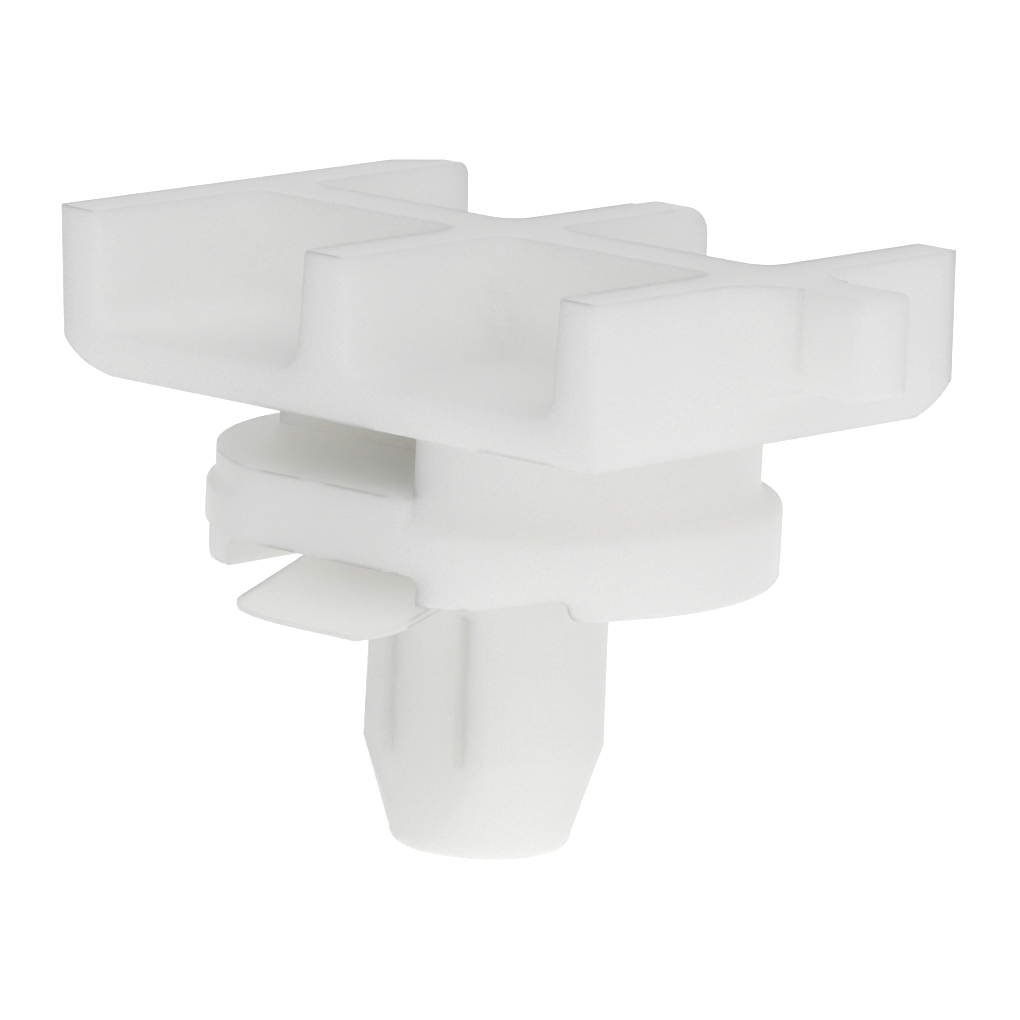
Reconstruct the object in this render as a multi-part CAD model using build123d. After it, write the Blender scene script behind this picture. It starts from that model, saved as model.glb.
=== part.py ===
"""Molding clip: one moulded piece with a finned slide head, a stepped flange,
two sprung wings and a grooved stem. Millimetres, +Z from the stem up to the head,
+X along the head, origin on the stem axis at the underside of the flange rim."""

import os
from math import atan, degrees, radians, sqrt, tan

from build123d import *

# Head, the finned block that slides into the moulding's channel
HEAD_LENGTH = 23.9
HEAD_WIDTH = 18.72
HEAD_UNDER_Z = 6.14
HEAD_HEIGHT = 5.53
HEAD_FRONT_DRAFT = 0.42
HEAD_BACK_DRAFT = 0.12
HEAD_FAR_DRAFT = 0.36
FLOOR_THICKNESS = 1.5
LEAD_IN_X = 1.4
LEAD_IN_Y = 2.13
TOE_LENGTH = 2.3
TOE_HEIGHT = 1.3
TOE_FULLNESS = 0.56
HEEL_LENGTH = 1.9
HEEL_HEIGHT = 1.1
HEEL_FULLNESS = 0.33
FIN_1_THICKNESS = 1.8
FIN_1_NOSE = 0.5
FIN_2_THICKNESS = 1.86
FIN_2_OFFSET = 0.08
FIN_2_NOSE = 1.0
FIN_2_SIDE = 0.28
FIN_3_THICKNESS = 1.66
WEB_THICKNESS = 2.56
POCKET_DRAFT = 2.5
POCKET_FILLET = 0.9
FIN_EDGE = 0.22

# Stub on the end fin
STUB_LENGTH = 4.6
STUB_DEPTH = 3.45
STUB_EDGE = 0.3
STUB_ROOT = 1.9
STUB_ROOT_ROOM = 0.92
STUB_CREASE = 0.07

# Neck between head and flange
RIB_THICKNESS = 3.8
RIB_START_X = -8.2
STOP_START_X = 3.55
STOP_RADIUS = 9.02

# Flange
RIM_RADIUS = 9.8
RIM_TOP_Z = 2.8
RIM_EDGE = 0.3
LEDGE_SHARE = 0.4
PLATE_RADIUS = 9.5
PLATE_TOP_Z = 3.9
PLATE_UNDER_Z = 1.35
WALL_FOOT = 0.48
FLAT_HALF_WIDTH = 8.87
FLAT_BLEND = 5.0
SKIRT_THICKNESS = 1.5
SKIRT_START_X = 8.1
SKIRT_SLOPE = 0.2
SKIRT_ROUND = 0.35
CHANNEL_ROUND = 0.35
RAIL_START_X = 4.17
RAIL_WIDTH = 1.75
RAIL_UNDER_Z = 0.38
RAIL_ROUND = 0.5
NOTCH_ROUND = 0.35
RIGHT_NOTCH_Z = 0.82
LEFT_NOTCH_Z = 1.45
LEFT_NOTCH_END_X = 8.6

# Wings
WING_LEFT_X = 3.2
WING_RIGHT_X = 3.75
WING_REACH = 10.1
WING_TIP_Z = -0.86
WING_TIP_THICKNESS = 0.12
WING_ROOT_Y = 3.7
WING_ROOT_THICKNESS = 0.6
WING_CORNER_X = 3.5
WING_CORNER_Y = 1.0
WING_SMALL_CORNER_X = 0.9
WING_SMALL_CORNER_Y = 1.6

# Stem
STEM_FLARE_RADIUS = 4.2
STEM_FLARE_Z = -0.6
STEM_WAIST_RADIUS = 4.07
STEM_WAIST_Z = -2.2
STEM_RADIUS = 4.11
STEM_FLAT_HALF_WIDTH = 3.15
STEM_BLEND = 1.2
STEM_STRAIGHT_END_Z = -6.0
STEM_TIP_Z = -9.65
STEM_TIP_RADIUS = 3.12
STEM_TIP_ROUND = 0.55
GROOVE_X = 1.59
GROOVE_WIDTH = 0.36
GROOVE_FLOOR_WIDTH = 0.2
GROOVE_DEPTH = 0.6
GROOVE_TOP_Z = -1.2
GROOVE_BOTTOM_Z = -6.35
GROOVE_RUN_OUT = 1.0

# How far one sub-part reaches into the next, so that they fuse
OVERLAP = 0.5

HALF_LENGTH = HEAD_LENGTH / 2
HALF_WIDTH = HEAD_WIDTH / 2
HEAD_TOP_Z = HEAD_UNDER_Z + HEAD_HEIGHT
FLOOR_TOP_Z = HEAD_UNDER_Z + FLOOR_THICKNESS
HALF_WEB = WEB_THICKNESS / 2
BIG = 60.0
TINY = 0.01


def box(x0, x1, y0, y1, z0, z1):
    """A box between two corners."""
    size = (x1 - x0, y1 - y0, z1 - z0)
    return Pos((x0 + x1) / 2, (y0 + y1) / 2, (z0 + z1) / 2) * Box(*size)


def edges_where(shape, test):
    """The edges of a shape whose middle passes the test."""
    return [edge for edge in shape.edges() if test(edge.center())]


def soft_corner(before, corner, after, fullness):
    """A face between a sharp corner and the curve that replaces it: fullness 1 bulges
    most towards the corner, 0 is a straight chamfer."""
    middle = tuple(fullness * c + (1 - fullness) * (b + a) / 2
                   for b, c, a in zip(before, corner, after))
    return make_face(Polyline(before, corner, after) + Bezier(after, middle, before))


def round_corner(before, corner, after):
    """The circular arc that rounds a square corner with legs of equal length."""
    centre = tuple(b + a - c for b, c, a in zip(before, corner, after))
    middle = tuple(m + (c - m) * sqrt(0.5) for c, m in zip(corner, centre))
    return ThreePointArc(before, middle, after)


def far_y(x):
    """Where the head's far side lies: it runs slightly out towards the lead-in fin."""
    return HALF_WIDTH + HEAD_FAR_DRAFT * (HALF_LENGTH - x) / HEAD_LENGTH


def head_blank():
    """The head's outer form, before its pockets are cut."""
    lead_in_x = -HALF_LENGTH + LEAD_IN_X
    plan = make_face(Polyline(
        (-HALF_LENGTH, -HALF_WIDTH),
        (BIG, -HALF_WIDTH),
        (BIG, far_y(BIG)),
        (lead_in_x, far_y(lead_in_x)),
        (-HALF_LENGTH, far_y(lead_in_x) - LEAD_IN_Y),
        close=True,
    ))
    front, back = -HALF_LENGTH + HEAD_FRONT_DRAFT, HALF_LENGTH + HEAD_BACK_DRAFT
    side = make_face(Polyline(
        (-HALF_LENGTH, HEAD_TOP_Z),
        (front, HEAD_UNDER_Z),
        (back, HEAD_UNDER_Z),
        (HALF_LENGTH, HEAD_TOP_Z),
        close=True,
    ))
    blank = extrude(Pos(0, 0, HEAD_UNDER_Z) * plan, HEAD_HEIGHT)
    blank &= extrude(Plane.XZ * side, BIG / 2, both=True)
    toe = soft_corner(
        (front - HEAD_FRONT_DRAFT * TOE_HEIGHT / HEAD_HEIGHT, HEAD_UNDER_Z + TOE_HEIGHT),
        (front, HEAD_UNDER_Z),
        (front + TOE_LENGTH, HEAD_UNDER_Z),
        TOE_FULLNESS,
    )
    heel = soft_corner(
        (0, HEAD_UNDER_Z + HEEL_HEIGHT),
        (0, HEAD_UNDER_Z),
        (-HEEL_LENGTH, HEAD_UNDER_Z),
        HEEL_FULLNESS,
    )
    along_far_side = Pos(0, far_y(0), 0) * Rot(0, 0, -degrees(atan(HEAD_FAR_DRAFT / HEAD_LENGTH)))
    blank -= extrude(Plane.XZ * toe, BIG / 2, both=True)
    return blank - along_far_side * extrude(Plane.YZ * heel, BIG / 2, both=True)


def pocket(x0, x1, side):
    """The tool for one pocket: drafted walls, soft corners, open on its outer side."""
    outer = HEAD_WIDTH
    depth = HEAD_TOP_Z - FLOOR_TOP_Z
    run = depth * tan(radians(POCKET_DRAFT))
    middle = Pos((x0 + x1) / 2, side * (HALF_WEB + run + outer) / 2, FLOOR_TOP_Z)
    foot = middle * Rectangle(x1 - x0 - 2 * run, outer - HALF_WEB - run)
    tool = extrude(foot, depth + OVERLAP, taper=-POCKET_DRAFT)
    soft = edges_where(tool, lambda c: c.Z < HEAD_TOP_Z and abs(c.Y) < outer - TINY)
    return fillet(soft, POCKET_FILLET)


def fin_2_nose_trim():
    """The tool that rounds the far end of the middle fin."""
    half = FIN_2_THICKNESS / 2 + FIN_2_SIDE
    x0, x1, y = FIN_2_OFFSET - half, FIN_2_OFFSET + half, far_y(FIN_2_OFFSET)
    keep = box(x0, x1, 0, y, 0, HEAD_TOP_Z)
    keep = fillet(edges_where(keep, lambda c: c.Z > HEAD_TOP_Z - TINY and c.Y > y - TINY), FIN_2_NOSE)
    uprights = edges_where(
        keep,
        lambda c: c.Y > y - TINY and c.Z > TINY and abs(c.X - FIN_2_OFFSET) > half - TINY,
    )
    keep = fillet(uprights, 2 * FIN_2_SIDE)
    region = box(x0 - TINY, x1 + TINY, y - 2 * FIN_2_NOSE, y + OVERLAP,
                 FLOOR_TOP_Z + POCKET_FILLET, HEAD_TOP_Z + OVERLAP)
    return region - keep


def head():
    """The finned head: floor, three cross fins and the web between them."""
    body = head_blank()
    for side in (-1, 1):
        body -= pocket(-HALF_LENGTH + FIN_1_THICKNESS, FIN_2_OFFSET - FIN_2_THICKNESS / 2, side)
        body -= pocket(FIN_2_OFFSET + FIN_2_THICKNESS / 2, HALF_LENGTH - FIN_3_THICKNESS, side)
    far_top = edges_where(body, lambda c: c.Z > HEAD_TOP_Z - TINY and c.Y > HALF_WIDTH
                          and c.X < -HALF_LENGTH / 2)
    body = fillet(far_top, FIN_1_NOSE)
    body -= fin_2_nose_trim()
    uprights = edges_where(body, lambda c: abs(c.Y + HALF_WIDTH) < TINY
                         and FLOOR_TOP_Z + POCKET_FILLET < c.Z < HEAD_TOP_Z - TINY)
    return fillet(uprights, FIN_EDGE)


def add_stub(body):
    """Add the block that stands out of the end fin, with a broad root and a soft crease."""
    under, end_x = HEAD_TOP_Z - STUB_DEPTH, HALF_LENGTH + STUB_LENGTH
    root_size = min(STUB_ROOT, STUB_ROOT_ROOM * (under - HEAD_UNDER_Z))
    root_end_x = HALF_LENGTH + root_size
    body += box(HALF_LENGTH - OVERLAP, end_x, -HALF_WEB, HALF_WEB, under, HEAD_TOP_Z)
    root = edges_where(body, lambda c: HALF_LENGTH - TINY < c.X < HALF_LENGTH + HEAD_BACK_DRAFT
                       and abs(c.Y) < HALF_WEB + TINY and under - TINY < c.Z < HEAD_TOP_Z - STUB_EDGE)
    body = fillet(root, root_size) - box(root_end_x, BIG, -BIG, BIG, 0, BIG)
    block = box(root_end_x, end_x, -HALF_WEB, HALF_WEB, under, HEAD_TOP_Z)
    body += fillet(edges_where(block, lambda c: c.X > root_end_x + TINY), STUB_EDGE)
    for side in (-1, 1):
        crease = box(-STUB_CREASE, STUB_CREASE, -STUB_CREASE, STUB_CREASE, 2 * STUB_EDGE, STUB_DEPTH)
        body -= Pos(root_end_x, side * HALF_WEB, under) * Rot(0, 0, 45) * crease
    return body


def rim_section(wall_radius, top_z):
    """Half the flange's section: soft skirt edge, rim, and a hollow curve up to the wall."""
    ledge = (RIM_RADIUS - LEDGE_SHARE * (RIM_RADIUS - wall_radius), RIM_TOP_Z)
    skirt_foot, skirt_side = (RIM_RADIUS - SKIRT_ROUND, 0), (RIM_RADIUS, SKIRT_ROUND)
    rim_side, wall_foot = (RIM_RADIUS, RIM_TOP_Z - RIM_EDGE), (wall_radius, RIM_TOP_Z + WALL_FOOT)
    return make_face(
        Polyline(wall_foot, (wall_radius, top_z), (0, top_z), (0, 0), skirt_foot)
        + round_corner(skirt_foot, (RIM_RADIUS, 0), skirt_side)
        + Line(skirt_side, rim_side)
        + round_corner(rim_side, (RIM_RADIUS, RIM_TOP_Z), ledge)
        + round_corner(ledge, (wall_radius, RIM_TOP_Z), wall_foot)
    )


def flange():
    """The round flange with two flats, its underside, and the stop wall on its right part."""
    plate = revolve(Plane.XZ * rim_section(PLATE_RADIUS, PLATE_TOP_Z), Axis.Z)
    wall = revolve(Plane.XZ * rim_section(STOP_RADIUS, HEAD_UNDER_Z + OVERLAP), Axis.Z)
    plate &= box(-BIG, STOP_START_X, -BIG, BIG, 0, BIG)
    wall &= box(STOP_START_X, BIG, -BIG, BIG, 0, BIG)
    plan = Circle(RIM_RADIUS) & Rectangle(BIG, 2 * FLAT_HALF_WIDTH)
    plan = fillet(plan.vertices(), FLAT_BLEND)
    return (plate + wall - underside_cut()) & extrude(plan, BIG)


def underside_cut():
    """The tool for the flange's underside: channel, rail feet, notches and skirt recess."""
    low, notch_x = -OVERLAP, RAIL_START_X + RAIL_WIDTH
    channel = box(-RAIL_START_X, RAIL_START_X, -BIG, BIG, low, PLATE_UNDER_Z)
    tool = fillet(edges_where(channel, lambda c: c.Z > PLATE_UNDER_Z - TINY and abs(c.Y) < TINY),
                  CHANNEL_ROUND)
    tool += Pos(0, 0, (low + RAIL_UNDER_Z) / 2) * Cylinder(
        RIM_RADIUS - SKIRT_THICKNESS, RAIL_UNDER_Z - low)
    tool += box(-SKIRT_START_X, SKIRT_START_X, -BIG, BIG, low, RAIL_UNDER_Z)
    ceiling_end = (SKIRT_START_X - NOTCH_ROUND, RIGHT_NOTCH_Z)
    skirt_top = (SKIRT_START_X, RIGHT_NOTCH_Z - NOTCH_ROUND)
    right = (
        Polyline(skirt_top, (SKIRT_START_X + SKIRT_SLOPE, low), (notch_x, low),
                 (notch_x, RAIL_UNDER_Z), ceiling_end)
        + round_corner(ceiling_end, (SKIRT_START_X, RIGHT_NOTCH_Z), skirt_top)
    )
    rail_foot, rail_side = (-notch_x + RAIL_ROUND, RAIL_UNDER_Z), (-notch_x, RAIL_UNDER_Z + RAIL_ROUND)
    left = (
        Polyline(rail_side, (-notch_x, LEFT_NOTCH_Z), (-LEFT_NOTCH_END_X, LEFT_NOTCH_Z),
                 (-LEFT_NOTCH_END_X, low), (rail_foot[0], low), rail_foot)
        + round_corner(rail_foot, (-notch_x, RAIL_UNDER_Z), rail_side)
    )
    for notch in (right, left):
        tool += extrude(Plane.XZ * make_face(notch), BIG, both=True)
    return tool


def rib():
    """The rib under the head, ahead of the stop wall."""
    return box(RIB_START_X, STOP_START_X + OVERLAP, -RIB_THICKNESS / 2, RIB_THICKNESS / 2,
               PLATE_TOP_Z - OVERLAP, HEAD_UNDER_Z + OVERLAP)


def wing():
    """One sprung wing, sloping down and outwards from the stem to a thin edge."""
    side = make_face(Polyline(
        (0, PLATE_UNDER_Z + OVERLAP),
        (-WING_ROOT_Y, PLATE_UNDER_Z + OVERLAP),
        (-WING_ROOT_Y, PLATE_UNDER_Z),
        (-WING_REACH, WING_TIP_Z + WING_TIP_THICKNESS),
        (-WING_REACH, WING_TIP_Z),
        (-WING_ROOT_Y, PLATE_UNDER_Z - WING_ROOT_THICKNESS),
        (0, PLATE_UNDER_Z - WING_ROOT_THICKNESS),
        close=True,
    ))
    leaf = extrude(Plane.YZ * side, WING_REACH, both=True)
    left, right, end = -WING_LEFT_X, WING_RIGHT_X, -WING_REACH
    left_side, left_end = (left, end + WING_CORNER_Y), (left + WING_CORNER_X, end)
    right_side, right_end = (right, end + WING_SMALL_CORNER_Y), (right - WING_SMALL_CORNER_X, end)
    outline = make_face(
        Polyline(left_side, (left, 0), (right, 0), right_side)
        + Bezier(right_side, (right, end + WING_SMALL_CORNER_Y / 2), right_end)
        + Line(right_end, left_end)
        + Bezier(left_end, (left, end), left_side)
    )
    return leaf & extrude(outline, BIG, both=True)


def groove(x, side):
    """The tool for one blind groove in a flat of the stem; its floor runs out at the end."""
    floor, mouth = STEM_FLAT_HALF_WIDTH - GROOVE_DEPTH, STEM_FLAT_HALF_WIDTH + GROOVE_DEPTH
    half_floor, half_mouth = GROOVE_FLOOR_WIDTH / 2, GROOVE_WIDTH - GROOVE_FLOOR_WIDTH / 2
    plan = make_face(Polyline(
        (x - half_floor, side * floor),
        (x + half_floor, side * floor),
        (x + half_mouth, side * mouth),
        (x - half_mouth, side * mouth),
        close=True,
    ))
    profile = make_face(Polyline(
        (side * floor, GROOVE_TOP_Z),
        (side * mouth, GROOVE_TOP_Z),
        (side * mouth, GROOVE_BOTTOM_Z - GROOVE_RUN_OUT),
        (side * floor, GROOVE_BOTTOM_Z + GROOVE_RUN_OUT),
        close=True,
    ))
    return extrude(plan, BIG, both=True) & extrude(Plane.YZ * profile, BIG, both=True)


def stem():
    """The stem: a slight waist, soft flats with grooves, and a tapered tip."""
    foot_z = PLATE_UNDER_Z + OVERLAP
    flare, waist = (STEM_FLARE_RADIUS, STEM_FLARE_Z), (STEM_WAIST_RADIUS, STEM_WAIST_Z)
    tip_side = (STEM_TIP_RADIUS, STEM_TIP_Z + STEM_TIP_ROUND)
    tip_face = (STEM_TIP_RADIUS - STEM_TIP_ROUND, STEM_TIP_Z)
    section = make_face(
        Polyline(tip_face, (0, STEM_TIP_Z), (0, foot_z), (STEM_FLARE_RADIUS, foot_z), flare)
        + Bezier(flare, (STEM_WAIST_RADIUS, (STEM_FLARE_Z + STEM_WAIST_Z) / 2), waist)
        + Polyline(waist, (STEM_RADIUS, STEM_STRAIGHT_END_Z), tip_side)
        + round_corner(tip_side, (STEM_TIP_RADIUS, STEM_TIP_Z), tip_face)
    )
    plan = Circle(STEM_FLARE_RADIUS) & Rectangle(BIG, 2 * STEM_FLAT_HALF_WIDTH)
    plan = fillet(plan.vertices(), STEM_BLEND)
    body = revolve(Plane.XZ * section, Axis.Z) & extrude(plan, BIG, both=True)
    for x in (-GROOVE_X, GROOVE_X):
        for side in (-1, 1):
            body -= groove(x, side)
    return body


def clip():
    """The whole clip as one moulded solid."""
    body = add_stub(head()) + rib() + flange() + stem()
    leaf = wing()
    return body + leaf + Rot(0, 0, 180) * leaf


if __name__ == "__main__":
    os.makedirs("parts", exist_ok=True)
    export_step(clip(), "parts/molding_clip.step")
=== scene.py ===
"""The look of a moulded trim clip: natural white nylon on a plain white sweep."""

import logging
import math
from dataclasses import dataclass, field
from enum import Enum

import bpy
from mathutils import Matrix, Vector


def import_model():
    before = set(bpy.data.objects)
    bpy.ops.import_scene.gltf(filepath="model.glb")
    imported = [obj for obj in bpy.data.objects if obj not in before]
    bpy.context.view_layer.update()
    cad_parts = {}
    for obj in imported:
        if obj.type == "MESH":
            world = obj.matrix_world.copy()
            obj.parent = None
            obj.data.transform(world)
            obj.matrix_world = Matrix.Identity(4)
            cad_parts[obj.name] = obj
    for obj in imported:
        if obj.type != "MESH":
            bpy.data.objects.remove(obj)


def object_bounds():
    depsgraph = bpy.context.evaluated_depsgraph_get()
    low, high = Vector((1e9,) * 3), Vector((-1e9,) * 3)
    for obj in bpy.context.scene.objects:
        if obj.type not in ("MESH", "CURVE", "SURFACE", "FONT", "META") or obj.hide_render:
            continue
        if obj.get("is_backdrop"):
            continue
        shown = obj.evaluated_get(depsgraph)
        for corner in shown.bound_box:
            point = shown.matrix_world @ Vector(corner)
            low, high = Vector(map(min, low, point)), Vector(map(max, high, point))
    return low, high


MM = 0.001
IMAGE_SIDE_PX = 1020
SENSOR_WIDTH_MM = 36.0
DIFFUSE_BOUNCES = 8
LOG = logging.getLogger("molding_clip")

Colour = tuple[float, float, float, float]
WHITE: Colour = (1.0, 1.0, 1.0, 1.0)


def heading(azimuth_deg: float, elevation_deg: float) -> Vector:
    """Gives the direction from the clip to a camera or a lamp.

    Args:
        azimuth_deg: The angle round the clip, 0 at its front and 90 at its +X end.
        elevation_deg: The angle above the level.

    Returns:
        The direction, with a length of one.
    """
    around, up = math.radians(azimuth_deg), math.radians(elevation_deg)
    return Vector((
        math.sin(around) * math.cos(up),
        -math.cos(around) * math.cos(up),
        math.sin(up),
    ))


class RayKind(Enum):
    """Light Path outputs that see the white backdrop instead of its shaded colour."""

    CAMERA = "Is Camera Ray"
    GLOSSY = "Is Glossy Ray"
    TRANSMISSION = "Is Transmission Ray"


class MixSocket(Enum):
    """Places of a colour Mix node's sockets, which share their names with others."""

    FACTOR = 0
    FIRST = 6
    SECOND = 7
    RESULT = 2


class LampRole(Enum):
    """The jobs of the lamps round the clip."""

    HIGH = "high softbox"
    FRONT = "front softbox"


@dataclass(frozen=True)
class Noise:
    """A cloudy pattern: its cells per metre, its layers and how strong the fine ones are."""

    scale: float
    layers: float
    fineness: float = 0.5


@dataclass
class NodeSheet:
    """A short-hand for building a node tree."""

    tree: bpy.types.NodeTree

    def add(self, kind: str, **values: object) -> bpy.types.Node:
        """Adds a node and sets its properties and inputs.

        Args:
            kind: The node's type name, such as ShaderNodeTexNoise.
            values: Properties by name, or input values with spaces written as underscores.

        Returns:
            The new node.
        """
        node = self.tree.nodes.new(kind)
        for name, value in values.items():
            socket = name.replace("_", " ")
            if socket in node.inputs:
                node.inputs[socket].default_value = value
            else:
                setattr(node, name, value)
        return node

    def link(self, source: bpy.types.NodeSocket, target: bpy.types.NodeSocket) -> None:
        """Joins two sockets."""
        self.tree.links.new(source, target)

    def noise(self, pattern: Noise, place: bpy.types.NodeSocket) -> bpy.types.NodeSocket:
        """Adds a noise pattern.

        Args:
            pattern: The pattern's numbers.
            place: Where the pattern is read.

        Returns:
            The socket of its value, from 0 to 1.
        """
        node = self.add(
            "ShaderNodeTexNoise",
            Scale=pattern.scale,
            Detail=pattern.layers,
            Roughness=pattern.fineness,
        )
        self.link(place, node.inputs["Vector"])
        return node.outputs["Fac"]

    def multiply_add(
        self, value: bpy.types.NodeSocket, factor: float, offset: float
    ) -> bpy.types.NodeSocket:
        """Scales and shifts a value.

        Args:
            value: The socket that gives the value.
            factor: What it is multiplied by.
            offset: What is added after that.

        Returns:
            The socket of the result.
        """
        node = self.add("ShaderNodeMath", operation="MULTIPLY_ADD")
        node.inputs[1].default_value = factor
        node.inputs[2].default_value = offset
        self.link(value, node.inputs[0])
        return node.outputs[0]

    def compare(
        self, operation: str, value: bpy.types.NodeSocket, limit: float
    ) -> bpy.types.NodeSocket:
        """Sets a value against a fixed number.

        Args:
            operation: The Math node's operation, such as LESS_THAN or MAXIMUM.
            value: The socket that gives the value.
            limit: The fixed number.

        Returns:
            The socket of the result.
        """
        node = self.add("ShaderNodeMath", operation=operation)
        node.inputs[1].default_value = limit
        self.link(value, node.inputs[0])
        return node.outputs[0]

    def combine(
        self, operation: str, first: bpy.types.NodeSocket, second: bpy.types.NodeSocket
    ) -> bpy.types.NodeSocket:
        """Joins two values, with ADD or MULTIPLY, and gives the socket of the result."""
        node = self.add("ShaderNodeMath", operation=operation)
        self.link(first, node.inputs[0])
        self.link(second, node.inputs[1])
        return node.outputs[0]

    def backdrop_seen(self) -> bpy.types.NodeSocket:
        """Gives 1 where the camera, a reflection or a see-through ray meets the backdrop."""
        path = self.add("ShaderNodeLightPath")
        seen = path.outputs[RayKind.CAMERA.value]
        for kind in (RayKind.GLOSSY, RayKind.TRANSMISSION):
            seen = self.combine("ADD", seen, path.outputs[kind.value])
        return seen


@dataclass(frozen=True)
class NylonFinish:
    """Natural white moulded nylon: satin, faintly translucent, with fine flow and grain."""

    colour: Colour = (0.955, 0.955, 0.934, 1.0)
    shade_colour: Colour = (0.94, 0.94, 0.919, 1.0)
    clouds: Noise = Noise(260.0, 4.0, 0.55)
    mottle: Noise = Noise(15000.0, 2.0)
    mottle_swing: float = 0.20
    speck_colour: Colour = (0.10, 0.09, 0.08, 1.0)
    speck_scale: float = 420.0
    speck_cutoff: float = 0.955
    speck_radius: float = 0.035
    speck_strength: float = 0.6
    wear: Noise = Noise(520.0, 3.0)
    roughness: float = 0.46
    roughness_swing: float = 0.10
    specular_level: float = 0.35
    ior: float = 1.53
    subsurface_weight: float = 1.0
    subsurface_depth_m: float = 0.003
    subsurface_reach: tuple[float, float, float] = (1.0, 0.95, 0.85)
    flow: Noise = Noise(90.0, 2.0)
    flow_depth_m: float = 0.000012
    grain: Noise = Noise(9000.0, 3.0)
    grain_depth_m: float = 0.0000025
    edge_softness_m: float = 0.00028
    edge_samples: int = 3

    def milk(self, sheet: NodeSheet, place: bpy.types.NodeSocket) -> bpy.types.NodeSocket:
        """Builds the milky colour with its slow clouds.

        Args:
            sheet: The node tree to build in.
            place: Object coordinates.

        Returns:
            The socket of the colour.
        """
        body = sheet.add("ShaderNodeMix", data_type="RGBA")
        body.inputs[MixSocket.FIRST.value].default_value = self.shade_colour
        body.inputs[MixSocket.SECOND.value].default_value = self.colour
        sheet.link(sheet.noise(self.clouds, place), body.inputs[MixSocket.FACTOR.value])
        return body.outputs[MixSocket.RESULT.value]

    def speck_mask(self, sheet: NodeSheet, place: bpy.types.NodeSocket) -> bpy.types.NodeSocket:
        """Picks a few cells of a pattern and marks a small dot in each.

        Args:
            sheet: The node tree to build in.
            place: Object coordinates.

        Returns:
            The socket of the mask, above 0 on a speck.
        """
        cells = sheet.add("ShaderNodeTexVoronoi", Scale=self.speck_scale, Randomness=1.0)
        sheet.link(place, cells.inputs["Vector"])
        pick = sheet.add("ShaderNodeSeparateColor")
        sheet.link(cells.outputs["Color"], pick.inputs[0])
        chosen = sheet.compare("GREATER_THAN", pick.outputs[0], self.speck_cutoff)
        dot = sheet.compare("LESS_THAN", cells.outputs["Distance"], self.speck_radius)
        return sheet.multiply_add(sheet.combine("MULTIPLY", chosen, dot), self.speck_strength, 0.0)

    def colour_nodes(
        self, sheet: NodeSheet, place: bpy.types.NodeSocket
    ) -> bpy.types.NodeSocket:
        """Builds the milky colour with its clouds, fine mottle and a few dark specks.

        Args:
            sheet: The node tree to build in.
            place: Object coordinates.

        Returns:
            The socket of the colour.
        """
        specked = sheet.add("ShaderNodeMix", data_type="RGBA")
        specked.inputs[MixSocket.SECOND.value].default_value = self.speck_colour
        sheet.link(self.speck_mask(sheet, place), specked.inputs[MixSocket.FACTOR.value])
        sheet.link(self.milk(sheet, place), specked.inputs[MixSocket.FIRST.value])
        swing = self.mottle_swing
        lift = sheet.multiply_add(sheet.noise(self.mottle, place), swing, -swing / 2)
        grained = sheet.add("ShaderNodeBrightContrast")
        sheet.link(specked.outputs[MixSocket.RESULT.value], grained.inputs["Color"])
        sheet.link(lift, grained.inputs["Bright"])
        return grained.outputs["Color"]

    def relief_nodes(
        self, sheet: NodeSheet, place: bpy.types.NodeSocket
    ) -> bpy.types.NodeSocket:
        """Builds the fine grain of the tool's surface over slow flow waves and soft edges.

        Args:
            sheet: The node tree to build in.
            place: Object coordinates.

        Returns:
            The socket of the bumped normal.
        """
        edges = sheet.add("ShaderNodeBevel", Radius=self.edge_softness_m, samples=self.edge_samples)
        normal = edges.outputs["Normal"]
        for pattern, depth_m in ((self.flow, self.flow_depth_m), (self.grain, self.grain_depth_m)):
            bump = sheet.add("ShaderNodeBump", Strength=1.0, Distance=depth_m)
            sheet.link(normal, bump.inputs["Normal"])
            sheet.link(sheet.noise(pattern, place), bump.inputs["Height"])
            normal = bump.outputs["Normal"]
        return normal

    def material(self) -> bpy.types.Material:
        """Makes the nylon material."""
        made = bpy.data.materials.new("natural_nylon")
        made.use_nodes = True
        sheet = NodeSheet(made.node_tree)
        shader = made.node_tree.nodes["Principled BSDF"]
        place = sheet.add("ShaderNodeTexCoord").outputs["Object"]
        sheet.link(self.colour_nodes(sheet, place), shader.inputs["Base Color"])
        sheet.link(self.relief_nodes(sheet, place), shader.inputs["Normal"])
        low = self.roughness - self.roughness_swing / 2
        rough = sheet.multiply_add(sheet.noise(self.wear, place), self.roughness_swing, low)
        sheet.link(rough, shader.inputs["Roughness"])
        shader.inputs["Subsurface Weight"].default_value = self.subsurface_weight
        shader.inputs["Subsurface Radius"].default_value = self.subsurface_reach
        shader.inputs["Subsurface Scale"].default_value = self.subsurface_depth_m
        shader.inputs["IOR"].default_value = self.ior
        shader.inputs["Specular IOR Level"].default_value = self.specular_level
        return made


@dataclass
class ClipBody:
    """The moulded clip itself, one piece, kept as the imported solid."""

    node: str = "molding_clip"
    finish: NylonFinish = field(default_factory=NylonFinish)

    def dress(self) -> bpy.types.Object:
        """Puts the nylon on the clip.

        Returns:
            The clip's object.
        """
        clip = bpy.data.objects[self.node]
        clip.data.materials.clear()
        clip.data.materials.append(self.finish.material())
        LOG.info("dressed %s in nylon", self.node)
        return clip


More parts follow.
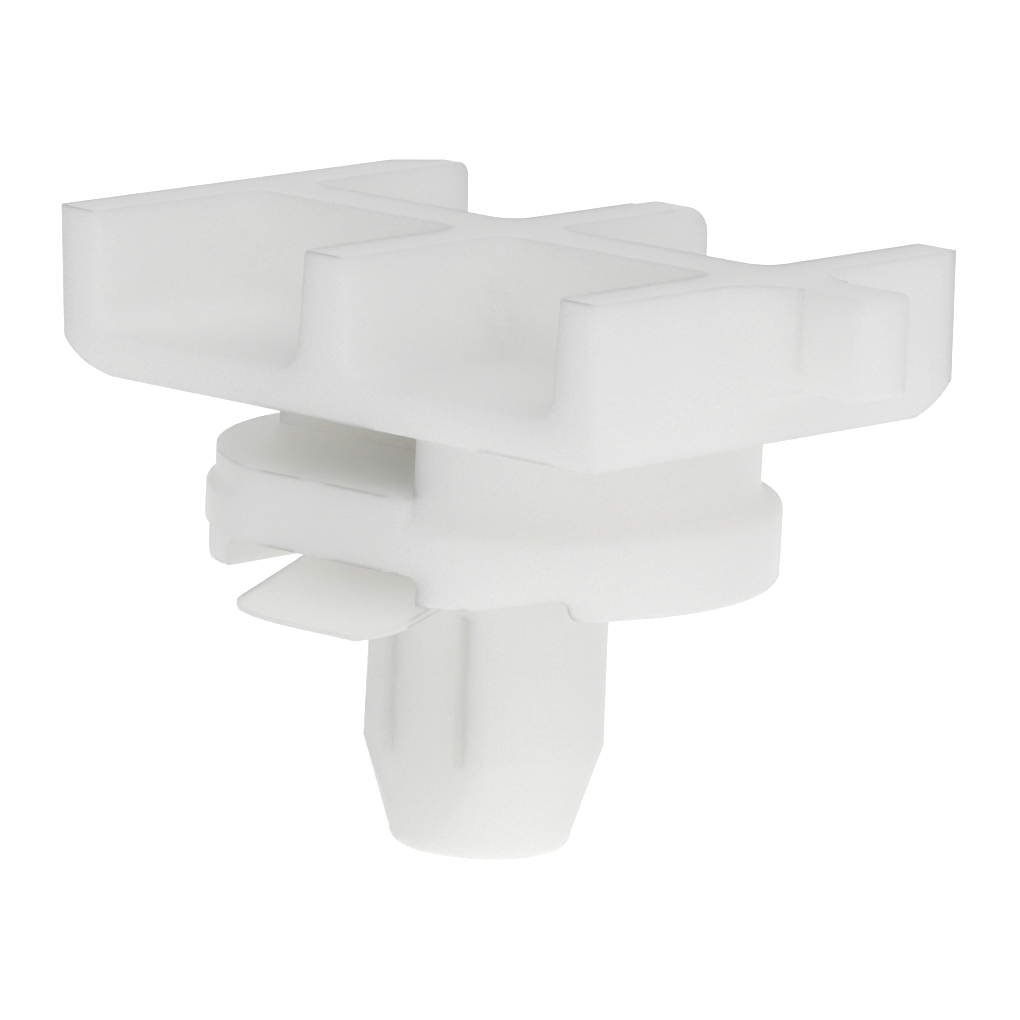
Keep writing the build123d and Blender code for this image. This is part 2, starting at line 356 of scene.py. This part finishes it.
@dataclass
class Sweep:
    """The plain pale floor that the clip's tip stands on."""

    half_side_m: float = 1.2
    colour: Colour = (0.9, 0.9, 0.9, 1.0)
    roughness: float = 0.9
    glow: float = 0.23
    seen_glow: float = 0.5

    def material(self) -> bpy.types.Material:
        """Makes a floor that looks white to the camera and still takes the shadow."""
        made = bpy.data.materials.new("white_sweep")
        made.use_nodes = True
        sheet = NodeSheet(made.node_tree)
        shader = made.node_tree.nodes["Principled BSDF"]
        shader.inputs["Base Color"].default_value = self.colour
        shader.inputs["Roughness"].default_value = self.roughness
        shader.inputs["Specular IOR Level"].default_value = 0.0
        glow = sheet.add("ShaderNodeEmission", Color=WHITE)
        strength = sheet.multiply_add(sheet.backdrop_seen(), self.seen_glow, self.glow)
        sheet.link(strength, glow.inputs["Strength"])
        both = sheet.add("ShaderNodeAddShader")
        sheet.link(shader.outputs["BSDF"], both.inputs[0])
        sheet.link(glow.outputs["Emission"], both.inputs[1])
        sheet.link(both.outputs[0], made.node_tree.nodes["Material Output"].inputs["Surface"])
        return made

    def build(self, height_m: float) -> bpy.types.Object:
        """Lays the floor.

        Args:
            height_m: How high the floor lies.

        Returns:
            The floor's object.
        """
        side = self.half_side_m
        corners = [(-side, -side), (side, -side), (side, side), (-side, side)]
        mesh = bpy.data.meshes.new("sweep")
        mesh.from_pydata([(x, y, height_m) for x, y in corners], [], [(0, 1, 2, 3)])
        floor = bpy.data.objects.new("sweep", mesh)
        floor.data.materials.append(self.material())
        bpy.context.scene.collection.objects.link(floor)
        floor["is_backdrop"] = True
        LOG.info("laid the floor at %.4f m", height_m)
        return floor


@dataclass
class Softbox:
    """One square area lamp aimed at the clip."""

    role: LampRole
    azimuth_deg: float
    elevation_deg: float
    power_w: float
    distance_m: float = 0.35
    side_m: float = 0.30

    def build(self, target: Vector) -> bpy.types.Object:
        """Hangs the lamp.

        Args:
            target: The point the lamp is aimed at.

        Returns:
            The lamp's object.
        """
        away = heading(self.azimuth_deg, self.elevation_deg)
        data = bpy.data.lights.new(self.role.value, "AREA")
        data.shape = "SQUARE"
        data.size = self.side_m
        data.energy = self.power_w
        lamp = bpy.data.objects.new(self.role.value, data)
        lamp.location = target + away * self.distance_m
        lamp.rotation_euler = away.to_track_quat("Z", "Y").to_euler()
        bpy.context.scene.collection.objects.link(lamp)
        LOG.info("hung %s", self.role.value)
        return lamp


@dataclass(frozen=True)
class TentWall:
    """One side of the soft surrounding light: brightest where it faces the clip squarely."""

    axis: str
    sign: float
    strength: float


@dataclass
class Room:
    """The soft surrounding light, a tent with walls of unequal brightness."""

    walls: tuple[TentWall, ...] = (
        TentWall("X", 1.0, 0.62),
        TentWall("X", -1.0, 0.02),
        TentWall("Y", -1.0, 0.19),
        TentWall("Z", 1.0, 0.62),
    )

    def level(self, sheet: NodeSheet) -> bpy.types.NodeSocket:
        """Adds up what the walls give in each direction.

        Args:
            sheet: The world's node tree.

        Returns:
            The socket of the light's strength.
        """
        parts = sheet.add("ShaderNodeSeparateXYZ")
        sheet.link(sheet.add("ShaderNodeTexCoord").outputs["Generated"], parts.inputs[0])
        total = None
        for wall in self.walls:
            towards = sheet.multiply_add(parts.outputs[wall.axis], wall.sign * wall.strength, 0.0)
            share = sheet.compare("MAXIMUM", towards, 0.0)
            total = share if total is None else sheet.combine("ADD", total, share)
        return total

    def build(self) -> None:
        """Sets the world light and leaves a white view behind the object."""
        world = bpy.data.worlds.new("tent")
        world.use_nodes = True
        bpy.context.scene.world = world
        sheet = NodeSheet(world.node_tree)
        light = world.node_tree.nodes["Background"]
        light.inputs["Color"].default_value = WHITE
        sheet.link(self.level(sheet), light.inputs["Strength"])
        white = sheet.add("ShaderNodeBackground", Color=WHITE, Strength=1.0)
        mix = sheet.add("ShaderNodeMixShader")
        sheet.link(sheet.backdrop_seen(), mix.inputs["Fac"])
        sheet.link(light.outputs[0], mix.inputs[1])
        sheet.link(white.outputs[0], mix.inputs[2])
        sheet.link(mix.outputs[0], world.node_tree.nodes["World Output"].inputs["Surface"])
        LOG.info("lit the room")


@dataclass
class PhotoCamera:
    """The camera of the photograph, matched to the clip's own edges."""

    azimuth_deg: float = 40.330
    elevation_deg: float = 10.978
    roll_deg: float = 2.598
    focal_px: float = 9702.0
    distance_mm: float = 319.435
    offset_right_mm: float = -1.747
    offset_up_mm: float = -50.544
    datum_mm: float = 53.470
    nearest_m: float = 0.01
    farthest_m: float = 10.0

    def build(self) -> bpy.types.Object:
        """Places the camera and makes it the scene's own.

        Returns:
            The camera's object.
        """
        back = heading(self.azimuth_deg, self.elevation_deg)
        around, lean = math.radians(self.azimuth_deg), math.radians(self.roll_deg)
        level = Vector((math.cos(around), math.sin(around), 0.0))
        upright = back.cross(level)
        right = level * math.cos(lean) + upright * math.sin(lean)
        top = upright * math.cos(lean) - level * math.sin(lean)
        place = right * self.offset_right_mm + top * self.offset_up_mm + back * self.distance_mm
        place.z += self.datum_mm
        data = bpy.data.cameras.new("photo_camera")
        data.sensor_fit = "HORIZONTAL"
        data.sensor_width = SENSOR_WIDTH_MM
        data.lens = SENSOR_WIDTH_MM * self.focal_px / IMAGE_SIDE_PX
        data.clip_start = self.nearest_m
        data.clip_end = self.farthest_m
        camera = bpy.data.objects.new("photo_camera", data)
        turn = Matrix((right, top, back)).transposed().to_4x4()
        camera.matrix_world = Matrix.Translation(place * MM) @ turn
        bpy.context.scene.collection.objects.link(camera)
        bpy.context.scene.camera = camera
        LOG.info("placed the camera")
        return camera


def main() -> None:
    """Builds the clip's look, its floor, light and camera."""
    logging.basicConfig(level=logging.INFO)
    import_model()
    cad_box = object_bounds()
    low, high = cad_box
    ClipBody().dress()
    Sweep().build(low.z)
    centre = (low + high) / 2
    Room().build()
    for lamp in (
        Softbox(LampRole.HIGH, azimuth_deg=50.0, elevation_deg=50.0, power_w=0.081),
        Softbox(LampRole.FRONT, azimuth_deg=0.0, elevation_deg=6.0, power_w=0.064),
    ):
        lamp.build(centre)
    PhotoCamera().build()
    bpy.context.scene.view_settings.view_transform = "Standard"
    bpy.context.scene.cycles.diffuse_bounces = DIFFUSE_BOUNCES


if __name__ == "__main__":
    main()
